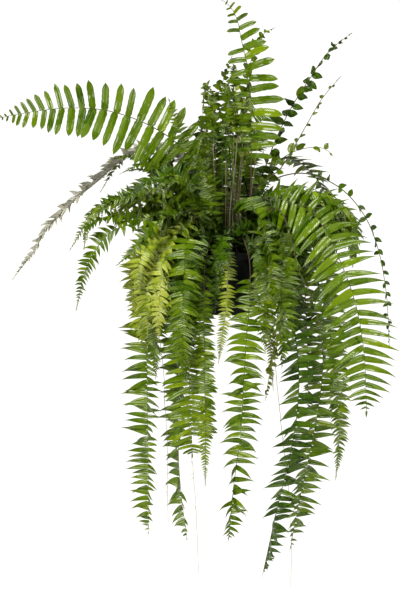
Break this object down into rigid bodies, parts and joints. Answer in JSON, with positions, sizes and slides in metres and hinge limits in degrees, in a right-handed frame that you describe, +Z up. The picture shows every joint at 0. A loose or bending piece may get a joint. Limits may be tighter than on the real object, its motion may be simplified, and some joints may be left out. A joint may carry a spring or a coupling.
{
  "type": "hanging potted fern",
  "caption": "Large sword fern in a round black nursery pot on a three-armed hook hanger, its long fronds arching out and trailing far below the pot.",
  "frame": {"origin": "the inside top of the hanger's hook, where it bears on what holds it", "axes": "+Z up along the pot's axis; the front of the plant looks to -Y and +X is to the viewer's right"},
  "size_m": [0.9022, 0.5432, 1.3876],
  "materials": {
    "pot_plastic": "black moulded plastic, slightly glossy",
    "hanger_plastic": "black moulded plastic",
    "potting_mix": "crumbly peat and bark",
    "crown_scales": "dry brown scales",
    "leaf_bright": "satin leaf, vivid green",
    "leaf_mid": "satin leaf, mid green",
    "leaf_dark": "satin leaf, dark green",
    "leaf_yellow": "satin leaf, yellow green",
    "leaf_grey": "dull leaf, grey green",
    "crozier": "hairy young leaf",
    "runner": "dry wiry thread"
  },
  "bodies": {
    "root": {"crozier_1": "crozier", "crozier_2": "crozier", "crozier_3": "crozier", "frond_back_arch_1": "leaf_yellow", "frond_back_arch_2": "leaf_bright", "frond_back_arch_3": "leaf_mid", "frond_back_arch_4": "leaf_bright", "frond_back_arch_5": "leaf_mid", "frond_back_arch_6": "leaf_mid", "frond_back_hanging_1": "leaf_mid", "frond_back_hanging_2": "leaf_dark", "frond_back_hanging_3": "leaf_yellow", "frond_back_hanging_4": "leaf_mid", "frond_back_upright_1": "leaf_dark", "frond_back_upright_2": "leaf_mid", "frond_left_behind": "leaf_mid", "frond_left_broad": "leaf_dark", "frond_left_edge_on": "leaf_grey", "frond_left_front": "leaf_bright", "frond_left_long": "leaf_mid", "frond_left_low": "leaf_mid", "frond_right_bare": "leaf_dark", "frond_right_broad": "leaf_mid", "frond_right_great_arch": "leaf_bright", "frond_right_sparse_outer": "leaf_dark", "frond_skirt_front_1": "leaf_mid", "frond_skirt_front_2": "leaf_dark", "frond_skirt_front_3": "leaf_yellow", "frond_skirt_left_1": "leaf_yellow", "frond_skirt_left_2": "leaf_yellow", "frond_skirt_left_3": "leaf_mid", "frond_skirt_left_4": "leaf_bright", "frond_skirt_left_5": "leaf_mid", "frond_skirt_right_1": "leaf_bright", "frond_skirt_right_2": "leaf_mid", "frond_skirt_right_3": "leaf_dark", "frond_skirt_right_4": "leaf_mid", "frond_skirt_right_5": "leaf_mid", "frond_skirt_right_6": "leaf_yellow", "frond_upper_arch_left": "leaf_bright", "frond_upper_curled_right": "leaf_mid", "frond_upper_leaning_left": "leaf_mid", "frond_upper_leaning_right": "leaf_mid", "frond_upper_short_left": "leaf_mid", "frond_upper_short_right": "leaf_bright", "frond_upper_tall": "leaf_bright", "frond_upper_twisted_right": "leaf_dark", "hanger_arm_1": "hanger_plastic", "hanger_arm_2": "hanger_plastic", "hanger_arm_3": "hanger_plastic", "hanger_hook": "hanger_plastic", "hanger_hub": "hanger_plastic", "nursery_pot": "pot_plastic", "potting_mix": "potting_mix", "rhizome_crown": "crown_scales", "stolon_1": "runner", "stolon_2": "runner", "stolon_3": "runner"}
  },
  "joints": []
}
